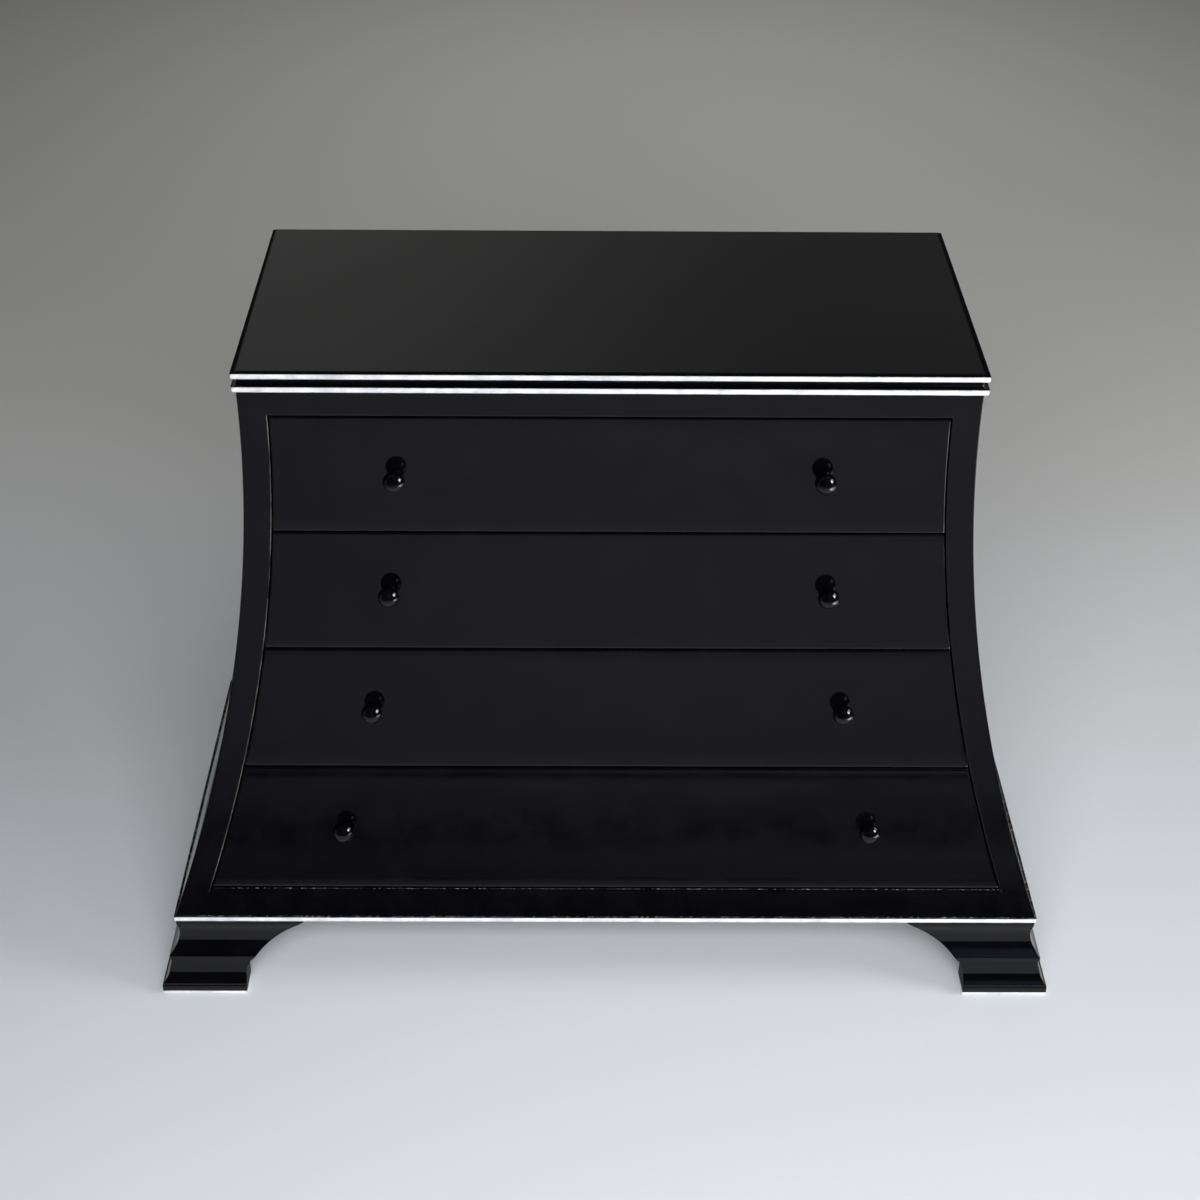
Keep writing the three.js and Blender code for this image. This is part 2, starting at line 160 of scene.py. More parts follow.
class BoardSizes(PropertyGroup):
    """Sizes of the three thin boards with beaded edges, and of the neck between two of them"""

    bead_depth: length("Bead depth", "Bead, front to back", 0.006)
    bead_nose: length("Bead nose", "How far the bead is rounded out", 0.0026)
    joint: length("Joint", "Gap between a bead and the board behind it", 0.0003)
    lip_easing: length("Lip easing", "Rounding of the black edge above a bead", 0.0008)
    fall: length("Fall", "Fall of the worn border round the top", 0.0008)
    border: length("Border", "Width of the worn border round the top", 0.0065)
    neck_recess: length("Neck recess", "Neck, inside the edges of the boards", 0.006)
    neck_hollow: length("Neck hollow", "Depth of the hollow in the neck", 0.0016)
    base_ledge: length("Base ledge", "Base board, outside the case", 0.0024)
    waver: length("Waver", "Unevenness of the gilded beads", 0.00016)


class FootSizes(PropertyGroup):
    """Sizes of the bracket feet, from the floor up"""

    sole: length("Sole height", "Height of the silvered sole", 0.0045)
    sole_inset: length("Sole inset", "Sole, inside the plinth", 0.0008)
    plinth: length("Plinth height", "Height of the plinth", 0.0087)
    plinth_step: length("Plinth step", "Plinth, outside the astragal", 0.0012)
    astragal: length("Astragal height", "Height of the astragal", 0.0037)
    astragal_step: length("Astragal step", "Astragal, outside the lower cove", 0.0014)
    lower_cove: length("Lower cove height", "Height of the lower cove", 0.0325)
    lower_spread: length("Lower cove spread", "How far the lower cove spreads", 0.0108)
    arris: length("Arris height", "Height of the arris between the coves", 0.006)
    arris_step: length("Arris step", "Arris, outside the top of the lower cove", 0.002)
    upper_cove: length("Upper cove height", "Height of the upper cove", 0.045)
    upper_spread: length("Upper cove spread", "How far the upper cove spreads", 0.0117)
    fillet: length("Fillet height", "Height of the fillet at the top", 0.0066)
    setback: length("Setback", "Top of the foot, inside the edge of the base board", 0.0018)
    depth: length("Foot depth", "Thickness of the foot at its plinth", 0.040)
    plinth_length: length("Plinth length", "Plinth, along the front and along the side", 0.114)
    arch: length("Arch span", "Curved bracket beyond the plinth", 0.080)
    arch_tip: length("Arch tip", "Blunt end of the bracket", 0.0015)
    brace: length("Brace thickness", "Plain bracket along the back", 0.020)
    easing: length("Easing", "Rounding of the mouldings' edges", 0.0008)
    upper_hollow: share("Upper hollow", "Pull of the upper cove, as a share of its spread", 0.76)
    upper_drop: share("Upper drop", "Height of the upper cove's pull, as a share of the cove", 0.52)
    lower_hollow: share("Lower hollow", "Pull of the lower cove, as a share of its spread", -0.08)
    lower_drop: share("Lower drop", "Height of the lower cove's pull, as a share of the cove", 0.62)
    arch_foot: share("Arch foot", "Where the arch turns upright, as a share of the foot", 0.25)
    arch_bend: share("Arch bend", "Height of the arch's pull, as a share of the foot", 0.5)


class DrawerSizes(PropertyGroup):
    """Sizes of the drawer fronts and boxes"""

    gap: length("Gap", "Gap shown round each drawer front", 0.002)
    front: length("Front thickness", "Thickness of a drawer front", 0.020)
    easing: length("Front easing", "Rounding of the edges of a drawer front", 0.0012)
    roll: length("Roll", "How far a drawer front is rubbed back at its lower and upper edges", 0.0004)
    roll_height: length("Roll height", "Height over which a drawer front is rubbed back", 0.018)
    box_easing: length("Box easing", "Rounding of the upper edges of a drawer box", 0.0028)


class KnobSizes(PropertyGroup):
    """Sizes of the turned knobs"""

    ball: length("Ball radius", "Radius of the ball", 0.0135)
    standoff: length("Standoff", "Middle of the ball, off the drawer front", 0.0207)
    neck: length("Neck radius", "Radius of the neck", 0.0046)
    collar: length("Collar radius", "Radius of the collar on the drawer front", 0.007)
    collar_height: length("Collar height", "Height of the collar", 0.0014)


class FinishColours(PropertyGroup):
    """Colours of the chest's finishes"""

    lacquer: colour("Lacquer", "Black pigment of the lacquer", "#030306")
    dust: colour("Dust", "Fine dust on the lacquer", "#6c6866")
    # The pale ground of the chips is also a painted highlight along the base ledge and the base rail
    chips: colour("Chips", "Pale ground where an edge of the lacquer is chipped", "#d3d2ce")
    leaf: colour("Silver leaf", "Silver leaf where it is whole", "#f7f8fa")
    worn_leaf: colour("Worn leaf", "Silver leaf where it is thin or dull", "#d6d8df")
    bole: colour("Bole", "Black ground under the leaf", "#141416")
    paint: colour("Paint", "Thin black paint on the arches and ends of the feet", "#0a0a0b")
    stained: colour("Stained wood", "Body of the stained carcass wood", "#4e4538")
    stained_dark: colour("Stained wood, dark", "Late wood and pores of the stained wood", "#352d23")
    sealed: colour("Drawer wood", "Body of the drawer wood", "#b89468")
    sealed_dark: colour("Drawer wood, dark", "Late wood and pores of the drawer wood", "#8d6a43")


class StageSettings(PropertyGroup):
    """Floor, lamps, surroundings and camera"""

    near_floor: colour("Floor", "Floor under and beside the chest", "#dde0e6")
    # Painted shade: the floor in front is darker, so that the drawer fronts mirror a dim floor
    front_floor_shade: colour("Front floor", "Floor 1.5 m in front of the chest and beyond", "#918e9c")
    far_floor: colour("Far floor", "Floor behind the chest", "#e2e1dc")
    wall_left: colour("Wall, left", "Walls behind and beside the chest, on the left", "#949492")
    wall_right: colour("Wall, right", "Walls behind and beside the chest, on the right", "#686665")
    low_wall_left: colour("Low wall, left", "Foot of the wall in front, on the left", "#6c6b74")
    low_wall_right: colour("Low wall, right", "Foot of the wall in front, on the right", "#a09fa8")
    window: colour("Window", "Cool skylight high at the front, on the right", "#8b9ab2")
    room: colour("Room", "Dim upper part of the room", "#26262a")
    key_power: power("Key lamp", "Power of the lamp at the front, on the right", 10)
    fill_power: power("Fill lamp", "Power of the large lamp at the front", 49)
    back_power: power("Back lamp", "Power of the lamp over the floor behind the chest", 9.5)
    soft_power: power("Soft lamp", "Power of the broad lamp at the right, which the gloss doesn't show", 46)
    side_power: power("Side lamp", "Power of the panel at the right, which only the gloss shows", 125)
    low_power: power("Low lamp", "Power of the panel on the floor at the right, which the gloss shows", 26)
    camera_lens: FloatProperty(
        name="Lens", description="Focal length of the camera", default=66.51, min=1, unit="CAMERA"
    )


class CommodeSettings(PropertyGroup):
    """All the sizes and colours of the chest"""

    case: PointerProperty(type=CaseSizes)
    boards: PointerProperty(type=BoardSizes)
    feet: PointerProperty(type=FootSizes)
    drawers: PointerProperty(type=DrawerSizes)
    knobs: PointerProperty(type=KnobSizes)
    finishes: PointerProperty(type=FinishColours)
    stage: PointerProperty(type=StageSettings)


def add_node(tree, kind, inputs=(), **settings):
    """Adds a shader node with its settings. Inputs are given by name, or in the node's own order.

    An input is a value, an output, or a node, which stands for the first of its outputs that is in use. A
    map range's own order is its value, the range that comes in and the range that goes out.
    """
    made = tree.nodes.new(f"ShaderNode{kind}")
    for key, value in settings.items():
        setattr(made, key, value)
    for key, value in inputs.items() if isinstance(inputs, dict) else enumerate(inputs):
        if isinstance(value, bpy.types.Node):
            value = next(output for output in value.outputs if output.enabled)
        if isinstance(value, bpy.types.NodeSocket):
            tree.links.new(value, made.inputs[key])
        else:
            made.inputs[key].default_value = value
    return made


def new_material(name):
    """An empty node material, the function that adds nodes to it, and the place on the piece."""
    material = bpy.data.materials.new(name)
    material.use_nodes = True
    material.node_tree.nodes.clear()
    add = partial(add_node, material.node_tree)
    return material, add, add("TexCoord").outputs["Object"]


def per_metre(millimetres):
    """Scale of a texture whose features are this many millimetres apart."""
    return 1000 / millimetres


def black_lacquer(add, place, pigment, spots, spots_apart, least_spot, spotting, film):
    """Polyester lacquer, sprayed over sealed wood, rubbed down and polished.

    It mirrors like dark glass, but the wood below has moved, so mirrored edges run in slow waves. Polishing
    left a haze that comes and goes. Spots lie on what faces up: fine dust, or chips where an edge has worn,
    whose pale ground is also a painted highlight of the edge catching light.
    They are some millimetres apart, cover what their noise lifts over the least, and show as strongly as
    the spotting says. Film is how strongly fine scratches, in the colour of the spots, cover the rest;
    a full film is a painted highlight.
    """
    # Millimetres, detail and roughness of the waves of the wood, a finer unevenness, the haze and the spots
    textures = ((150, 1.0, 0.4), (24, 1.0, 0.5), (45, 4.0, 0.65), (spots_apart, 4.0, 0.7))
    waves, ripples, haze, grains = [
        add("TexNoise", {"Vector": place, "Scale": per_metre(apart), "Detail": detail, "Roughness": rough})
        for apart, detail, rough in textures
    ]
    slow = add("Bump", {"Height": waves, "Strength": 1.0, "Distance": 0.00045})
    relief = add("Bump", {"Height": ripples, "Strength": 1.0, "Distance": 0.000012, "Normal": slow})
    roughness = add("MapRange", [haze, 0.35, 0.7, 0.05, 0.11])
    specks = add("MapRange", [grains, least_spot, 0.78, 0.0, spotting])
    facing = add("SeparateXYZ", [add("NewGeometry").outputs["Normal"]])
    upward = add("MapRange", [facing.outputs["Z"], 0.2, 0.95, 0.03, 0.7])
    # Scratches in the colour of the spots; a full film makes them a painted highlight
    scratched = add("MapRange", [haze, 0.4, 0.65, 0.0, film])
    spotted = add("Math", [specks, upward, scratched], operation="MULTIPLY_ADD")
    tint = add("Mix", {"Factor": spotted, "A": pigment, "B": spots}, data_type="RGBA")
    return {"Base Color": tint, "Roughness": roughness, "Normal": relief, "IOR": 1.38}


def dusty_lacquer(film, add, place, colours):
    """The lacquer with a little fine dust, and with more or less of the film of scratches. A full film is a
    painted highlight, pale in the colour of the dust.

    The grains of dust are drawn 1.5 mm apart, coarser than real ones, so that they show.
    """
    look = {"spots_apart": 1.5, "least_spot": 0.6, "spotting": 0.2, "film": film}
    return black_lacquer(add, place, colours.lacquer, colours.dust, **look)


def chips_with_painted_glint(add, place, colours):
    """The lacquer on the base rail's upper arris and the base board's ledge, chipped to its pale ground.
    The pale chips are also a painted highlight: the light line where these edges catch light.
    """
    look = {"spots_apart": 4, "least_spot": 0.52, "spotting": 1.0, "film": 0.03}
    return black_lacquer(add, place, colours.lacquer, colours.chips, **look)


def silver_leaf(add, place, colours):
    """Silver leaf on a black bole, laid by hand and lightly burnished.

    It is a bright metal with a broken, satin gleam. It is dull in clouds, and the black ground shows in
    ragged chips where an edge turns up or down.
    """
    # Millimetres, detail and roughness of the dull clouds, the chips at the edges and the leaf's wrinkles
    clouds, flakes, wrinkles = [
        add("TexNoise", {"Vector": place, "Scale": per_metre(apart), "Detail": detail, "Roughness": rough})
        for apart, detail, rough in ((30, 4.0, 0.6), (7, 5.0, 0.7), (2, 3.0, 0.6))
    ]
    dull = add("MapRange", [clouds, 0.42, 0.68, 0.0, 1.0])
    leaf = add("Mix", {"Factor": dull, "A": colours.leaf, "B": colours.worn_leaf}, data_type="RGBA")
    facing = add("SeparateXYZ", [add("NewGeometry").outputs["Normal"]])
    turned = add("Math", [facing.outputs["Z"]], operation="ABSOLUTE")
    ragged = add("Math", [flakes, 0.55, turned], operation="MULTIPLY_ADD")
    chipped = add("MapRange", [ragged, 1.20, 1.26, 0.0, 1.0])
    tint = add("Mix", {"Factor": chipped, "A": leaf, "B": colours.bole}, data_type="RGBA")
    metal = add("MapRange", [chipped, 0.0, 1.0, 0.3, 0.0])
    roughness = add("MapRange", [clouds, 0.3, 0.7, 0.34, 0.52])
    relief = add("Bump", {"Height": wrinkles, "Strength": 0.6, "Distance": 0.00015})
    return {"Base Color": tint, "Metallic": metal, "Roughness": roughness, "Normal": relief}


def grained_wood(add, place, body, dark, grain_axis, rough):
    """Planed and sealed board, with its grain along one axis: growth rings, pores and a low satin shine."""
    # Growth rings stand 9 mm apart and pores 0.8 mm. Both are drawn out along the grain.
    textures = []
    for apart, long, detail, coarse, distortion in ((9, 260, 3.0, 0.55, 0.6), (0.8, 14, 2.0, 0.6, 0.0)):
        scale = [per_metre(apart)] * 3
        scale[grain_axis] = per_metre(long)
        drawn = add("Mapping", {"Vector": place, "Scale": scale})
        look = {"Detail": detail, "Roughness": coarse, "Distortion": distortion}
        textures.append(add("TexNoise", {"Vector": drawn, "Scale": 1.0, **look}))
    rings, pores = textures
    banded = add("MapRange", [rings, 0.35, 0.68, 0.0, 0.8])
    dotted = add("MapRange", [pores, 0.58, 0.72, 0.0, 0.7])
    grain = add("Math", [banded, dotted], operation="MAXIMUM")
    stain = add("Mix", {"Factor": grain, "A": body, "B": dark}, data_type="RGBA")
    roughness = add("MapRange", [grain, 0.0, 1.0, rough, rough + 0.18])
    relief = add("Bump", {"Height": dotted, "Strength": 0.5, "Distance": 0.0001}, invert=True)
    return {"Base Color": stain, "Roughness": roughness, "Normal": relief, "IOR": 1.5}


def stained_wood(grain_axis, add, place, colours):
    """Poplar, planed, dark stained and sealed: brown, with a quiet grain and little shine."""
    return grained_wood(add, place, colours.stained, colours.stained_dark, grain_axis, rough=0.5)


def drawer_wood(grain_axis, add, place, colours):
    """Oak, planed and clear sealed: warm tan, with open pores and a satin shine."""
    return grained_wood(add, place, colours.sealed, colours.sealed_dark, grain_axis, rough=0.42)


def black_paint(add, place, colours):
    """Thin oil paint, brushed on the arches and ends of the feet: dull black, in faint streaks."""
    # Brush marks, 3 mm apart
    marks = add("TexNoise", {"Vector": place, "Scale": per_metre(3), "Detail": 3.0, "Roughness": 0.6})
    thin = add("MapRange", [marks, 0.5, 0.75, 0.0, 0.25])
    tint = add("Mix", {"Factor": thin, "A": colours.paint, "B": colours.stained_dark}, data_type="RGBA")
    relief = add("Bump", {"Height": marks, "Strength": 0.4, "Distance": 0.0001})
    return {"Base Color": tint, "Roughness": 0.75, "IOR": 1.45, "Normal": relief}


# Each gives what goes into the shader of its surface
MAKERS = {
    LACQUER: partial(dusty_lacquer, 0.006),
    # Painted highlight: a full film in the colour of the dust, on the left stile's inner arris
    PAINTED_GLINT: partial(dusty_lacquer, 1.0),
    # Pale chips, which are also a painted highlight along the base ledge and rail
    CHIPS_AND_GLINT: chips_with_painted_glint,
    LEAF: silver_leaf,
    PAINT: black_paint,
    "stained_poplar_x": partial(stained_wood, 0),
    "stained_poplar_y": partial(stained_wood, 1),
    "sealed_oak_x": partial(drawer_wood, 0),
    "sealed_oak_y": partial(drawer_wood, 1),
}


def finish(name):
    """The material of that name, made when it is first asked for."""
    material = bpy.data.materials.get(name)
    if not material:
        material, add, place = new_material(name)
        surface = MAKERS[name](add, place, bpy.context.scene.commode.finishes)
        add("OutputMaterial", [add("BsdfPrincipled", surface)])
    return material


def finish_node(node, name):
    """Gives a CAD node, whose shape stays, a finish."""
    frame["nodes"][node].material_slots[0].material = finish(name)


def add_object(name, data):
    made = bpy.data.objects.new(name, data)
    bpy.context.scene.collection.objects.link(made)
    return made


def add_skin(form, rings):
    """Skins rings of equally many points, and fills the first and the last."""
    loops = [[form.verts.new(point) for point in ring] for ring in rings]
    for near, far in zip(loops, loops[1:]):
        for i in range(len(near)):
            j = (i + 1) % len(near)
            form.faces.new((near[i], near[j], far[j], far[i]))
    form.faces.new(loops[0])
    form.faces.new(loops[-1])


def add_piece(name, skins, finishes, body, nodes, pick=None, bevel=0.0):
    """Makes a smooth shaded piece of one or more skins, which rides on a body and stands for CAD nodes.

    A pick gives the number of the finish that a face takes. A bevel eases the edges that are still sharp.
    """
    form = bmesh.new()
    for rings in skins:
        add_skin(form, rings)
    bmesh.ops.remove_doubles(form, verts=form.verts, dist=WELD)
    bmesh.ops.dissolve_degenerate(form, dist=WELD, edges=form.edges)
    bmesh.ops.recalc_face_normals(form, faces=form.faces)
    if bevel:
        sharp = [e for e in form.edges if e.is_manifold and e.calc_face_angle(0) > BEVEL_TURN]
        bmesh.ops.bevel(
            form, geom=sharp, offset=bevel, segments=2, profile=0.5, affect="EDGES", clamp_overlap=True
        )
    for face in form.faces:
        face.smooth = True
        if pick:
            face.material_index = int(pick(face))
    mesh = bpy.data.meshes.new(name)
    form.to_mesh(mesh)
    form.free()
    mesh.set_sharp_from_angle(angle=SHARP_TURN)
    for each in finishes:
        mesh.materials.append(finish(each))
    piece = add_object(name, mesh)
    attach(piece, body)
    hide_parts(*nodes)


def add_lacquered(node, skins, *others, body="carcass", pick=None, bevel=0.0):
    """A piece of black lacquer. The pick says where it has one of the other finishes."""
    add_piece(f"{node}_lacquered", skins, [LACQUER, *others], body, [node], pick, bevel)


def add_leafed(node, skins):
    add_piece(f"{node}_leafed", skins, [LEAF], "carcass", [node])


def between(start, end, steps):
    return [start + (end - start) * i / steps for i in range(steps + 1)]


def arc():
    """Angles of a quarter turn."""
    return between(0, math.pi / 2, EASE_STEPS)


def bend(start, pull, end, steps):
    """Points of a curve from start to end, drawn towards a pull."""
    start, pull, end = map(Vector, (start, pull, end))
    return [
        tuple(start * (1 - t) ** 2 + pull * 2 * t * (1 - t) + end * t**2) for t in between(0, 1, steps)
    ]


def eased(points, radius):
    """An open outline with its corners rounded, where the lines beside a corner are long enough."""
    most_turn, most_reach = 2.6, 0.45
    made = [points[0]]
    for before, corner, after in zip(points, points[1:], points[2:]):
        middle = Vector(corner)
        back, on = Vector(before) - middle, Vector(after) - middle
        turn = math.pi - back.angle(on)
        if turn < EASE_TURN:
            made.append(corner)
            continue
        reach = radius * math.tan(min(turn, most_turn) / 2)
        reach = min(reach, most_reach * back.length, most_reach * on.length)
        start, end = (middle + way.normalized() * reach for way in (back, on))
        made += bend(start, middle, end, EASE_STEPS)
    return made + [points[-1]]


def levels(bottom, top, steps, foot=0.0, head=0.0, margin=MARGIN):
    """Heights of a plank with the inset at each, where its foot and head are eased by a radius."""
    made = []
    if foot:
        made = [(bottom, foot + margin)]
        made += [(bottom + foot * (1 - math.cos(a)), foot * (1 - math.sin(a))) for a in arc()]
        bottom = bottom + foot + margin
    upper = []
    if head:
        upper = [(top - head * (1 - math.cos(a)), head * (1 - math.sin(a))) for a in reversed(arc())]
        upper += [(top, head + margin)]
        top = top - head - margin
    return made + [(z, 0.0) for z in between(bottom, top, steps)] + upper


def outline(left, right, front, back, radii, z, margin=MARGIN):
    """A rectangle in plan at a height, rounded at its corners.

    The roundings are those of the front left, front right, back right and back left corner.
    """
    corners = [Vector((left, front)), Vector((right, front)), Vector((right, back)), Vector((left, back))]
    made = []
    for i, (corner, radius) in enumerate(zip(corners, radii)):
        if not radius:
            made.append(corner)
            continue
        back_way = (corners[i - 1] - corner).normalized()
        on_way = (corners[(i + 1) % 4] - corner).normalized()
        middle = corner + (back_way + on_way) * radius
        made.append(corner + back_way * (radius + margin))
        made += [middle - on_way * radius * math.cos(a) - back_way * radius * math.sin(a) for a in arc()]
        made.append(corner + on_way * (radius + margin))
    return [(*point, z) for point in made]


def sweep(case, z):
    """How far the front and the sides flare out at a height, past the edge of the top board."""
    below = case.top - case.waist_drop - z
    return case.sweep_radius - math.sqrt(case.sweep_radius**2 - below**2) - case.waist_tuck


def face_y(case, z):
    return case.front - sweep(case, z)


def lean(case, z):
    return math.asin((case.top - case.waist_drop - z) / case.sweep_radius)


def half_case(case, z):
    return case.half_top + sweep(case, z)


def across(case, x):
    """A place on the front at x, which takes an outset to a point in plan."""
    return lambda outset: (x, case.front - outset)


def along(case, side, y):
    """A place on a side at y, which takes an outset to a point in plan."""
    return lambda outset: (side * (case.half_top + outset), y)


def around(case, side, margin):
    """Places round a front corner, from the front to the side. Each outset is mitred and rounded alike."""
    radius = case.corner

    def turned(a):
        return lambda outset: (
            side * (case.half_top + outset - radius + radius * math.sin(a)),
            case.front - (outset - radius) - radius * math.cos(a),
        )

    def before(outset):
        return side * (case.half_top + outset - radius - margin), case.front - outset

    def after(outset):
        return side * (case.half_top + outset), case.front - (outset - radius - margin)

    return [before, *[turned(a) for a in arc()], after]


def on_side(side, inner, outer):
    """Left and right limits of what lies between two distances from the middle."""
    return (-outer, -inner) if side < 0 else (inner, outer)


def rounded_at(side, outer_front, inner_front):
    """Corner roundings of a plank whose outer front and inner front corners are rounded."""
    front = (outer_front, inner_front) if side < 0 else (inner_front, outer_front)
    return (*front, 0, 0)


def plan_board(case, steps):
    """Rings of a board over the whole plan from pairs of outset and height, flush at the rear."""
    radii = (case.corner, case.corner, 0, 0)
    rings = []
    for outset, z in steps:
        half = case.half_top + outset
        rings.append(outline(-half, half, case.front - outset, case.rear, radii, z, 2 * MARGIN))
    return rings


def edge_board(settings, node, bead, outset, fall=0.0, border=MARGIN):
    """A thin board with a black lip over the rebate for its bead, and a border that falls to the lip.

    The ledge of the base board is chipped to a pale ground, which is also a painted highlight of the ledge
    catching light.
    """
    case, boards = settings.case, settings.boards
    low, high = heights_of(node)
    lip = highest(bead).z + boards.joint
    rebate = outset - boards.bead_depth - boards.joint
    edge = [(rebate, lip), (outset, lip), (outset, high - fall), (outset - border, high)]
    steps = [(rebate, low), *eased(edge, boards.lip_easing), (outset - border - MARGIN, high)]

    # The base board's ledge, facing up, takes the chips and their painted highlight
    def pick(face):
        return node == "base_board" and face.normal.z > UPWARD

    add_lacquered(node, [plan_board(case, steps)], CHIPS_AND_GLINT, pick=pick)


def edge_bead(settings, node, outset):
    """A half round bead on the front and both sides, a little uneven as hand gilded edges are."""
    case, boards = settings.case, settings.boards
    low, high = heights_of(node)
    middle, half_height = (low + high) / 2, (high - low) / 2
    nose = [
        (outset - boards.bead_nose * (1 - math.cos(a)), middle + half_height * math.sin(a))
        for a in between(-math.pi / 2, math.pi / 2, steps=12)
    ]
    section = [(outset - boards.bead_depth, low), *nose, (outset - boards.bead_depth, high)]
    step = 0.004  # between rings, fine enough for the waver
    turn = boards.bead_depth + case.corner + 2 * MARGIN
    front, end = case.front - outset + turn, case.half_top + outset - turn
    beside = between(case.rear, front, round((case.rear - front) / step))
    places = [along(case, -1, y) for y in beside]
    places += reversed(around(case, -1, MARGIN))
    places += [across(case, x) for x in between(-end, end, round(2 * end / step))]
    places += around(case, 1, MARGIN)
    places += [along(case, 1, y) for y in reversed(beside)]
    # Only the outer part of the nose wavers: it swells every 14 mm and lifts every 22 mm
    outer_part, swell_apart, lift_apart = 0.8, 14, 22
    free = outset - outer_part * boards.bead_nose
    rings = []
    for place in places:
        here = Vector((*place(outset), middle))
        swell = boards.waver * (noise.noise(here * per_metre(swell_apart)) - 1)
        lift = boards.waver * noise.noise(here * per_metre(lift_apart))
        rings.append([(*place(o + swell * (o > free)), z + lift * (o > free)) for o, z in section])
    add_leafed(node, [rings])


def base_outset(settings):
    return sweep(settings.case, settings.case.bottom) + settings.boards.base_ledge


def foot_levels(settings):
    """Heights of the foot's mouldings by name, each above the last."""
    feet = settings.feet
    steps = {
        "bottom": feet.sole + settings.boards.joint,
        "plinth": feet.plinth,
        "astragal": feet.astragal,
        "arris_bottom": feet.lower_cove,
        "arris_top": feet.arris,
        "fillet": feet.upper_cove,
        "top": feet.fillet,
    }
    return dict(zip(steps, accumulate(steps.values())))


def foot_outsets(settings):
    """Outsets of the foot's mouldings by name, each beyond the last, and of the leg's inner face."""
    feet = settings.feet
    steps = {
        "top": base_outset(settings) - feet.setback,
        "arris": feet.upper_spread,
        "lower_cove": -feet.arris_step,
        "cove_foot": feet.lower_spread,
        "astragal": feet.astragal_step,
        "plinth": feet.plinth_step,
        "plinth_end": -feet.plinth_length,
        "bracket_end": -feet.arch,
    }
    outsets = dict(zip(steps, accumulate(steps.values())))
    return outsets | {"inner": outsets["plinth"] - feet.depth}


def foot_face(settings):
    """The moulded face of a foot, from its top down."""
    feet, z, o = settings.feet, foot_levels(settings), foot_outsets(settings)
    upper = bend(
        (o["top"], z["fillet"]),
        (o["top"] - feet.upper_spread * feet.upper_hollow, z["fillet"] - feet.upper_cove * feet.upper_drop),
        (o["arris"], z["arris_top"]),
        steps=16,
    )
    lower = bend(
        (o["lower_cove"], z["arris_bottom"]),
        (
            o["lower_cove"] - feet.lower_spread * feet.lower_hollow,
            z["arris_bottom"] - feet.lower_cove * feet.lower_drop,
        ),
        (o["cove_foot"], z["astragal"]),
        steps=12,
    )
    face = [
        (o["top"], z["top"]),
        *upper,
        (o["arris"], z["arris_bottom"]),
        *lower,
        (o["astragal"], z["astragal"]),
        (o["astragal"], z["plinth"]),
        (o["plinth"], z["plinth"]),
        (o["plinth"], z["bottom"]),
    ]
    return eased(face, feet.easing)


def arch_line(settings):
    """Places along a leg with the height of its underside, from the bracket's tip to the plinth's end."""
    feet, z, o = settings.feet, foot_levels(settings), foot_outsets(settings)
    tall = z["top"] - z["bottom"]
    curve = bend(
        (o["bracket_end"], z["top"] - feet.arch_tip),
        (o["plinth_end"], z["bottom"] + tall * feet.arch_bend),
        (o["plinth_end"], z["bottom"] + tall * feet.arch_foot),
        steps=40,
    )
    margin = 0.0015
    return curve + [(o["plinth_end"], z["bottom"]), (o["plinth_end"] + margin, z["bottom"])]


def over(face, underside):
    """The part of a moulded face above an underside. The points below it gather where the face meets it."""
    cut = next((i for i, (_, z) in enumerate(face) if z < underside - WELD), None)
    if cut is None:
        return list(face)
    (upper_o, upper_z), (lower_o, lower_z) = face[cut - 1], face[cut]
    way = (upper_z - underside) / (upper_z - lower_z)
    meeting = (upper_o + (lower_o - upper_o) * way, underside)
    return face[:cut] + [meeting] * (len(face) - cut)


def leg_ring(face, inner, top, underside, place):
    section = [(inner, top), *over(face, underside), (inner, underside)]
    return [(*place(outset), z) for outset, z in section]


def corner_leg(settings, side, line, face, inner, top):
    """Rings of a leg along the front and one along the side, mitred at a softened corner."""
    case = settings.case
    bottom = line[-1][1]
    rings = [
        leg_ring(face, inner, top, under, across(case, side * (case.half_top + s))) for s, under in line
    ]
    rings += [leg_ring(face, inner, top, bottom, place) for place in around(case, side, margin=0.003)]
    return rings + [
        leg_ring(face, inner, top, under, along(case, side, case.front - s)) for s, under in reversed(line)
    ]


def add_front_foot(settings, side, word):
    """A foot of two legs, lacquered outside, bare on the inner faces and painted on the arches and ends."""
    case, z, o = settings.case, foot_levels(settings), foot_outsets(settings)

    def pick(face):
        way, place = face.normal, face.calc_center_median()
        outset = max(abs(place.x) - case.half_top, case.front - place.y)
        if abs(outset - o["inner"]) < NEARLY:
            return 1
        return 2 if way.x * side < SLIGHT and way.y > -SLIGHT and way.z < SLIGHT else 0

    rings = corner_leg(settings, side, arch_line(settings), foot_face(settings), o["inner"], z["top"])
    add_lacquered(f"foot_front_{word}", [rings], *UNDER_FOOT, pick=pick, bevel=LEG_BEVEL)
    line, inner = [(o["plinth_end"], 0.0)], o["inner"] + settings.feet.sole_inset
    rings = corner_leg(settings, side, line, sole_face(settings), inner, settings.feet.sole)
    add_leafed(f"foot_sole_front_{word}", [rings])


def sole_face(settings):
    """The outer face of a sole, from its top down."""
    outset = foot_outsets(settings)["plinth"] - settings.feet.sole_inset
    back = outset - 2 * MARGIN
    face = [(back, settings.feet.sole), (outset, settings.feet.sole), (outset, 0.0), (back, 0.0)]
    return eased(face, SOLE_EASING)


def brace(settings, side, line, top):
    """Rings of the plain bracket along the back."""
    case = settings.case
    front = case.rear - settings.feet.brace
    rings = []
    for s, under in line:
        x = side * (case.half_top + s)
        rings.append([(x, front, under), (x, case.rear, under), (x, case.rear, top), (x, front, top)])
    return rings


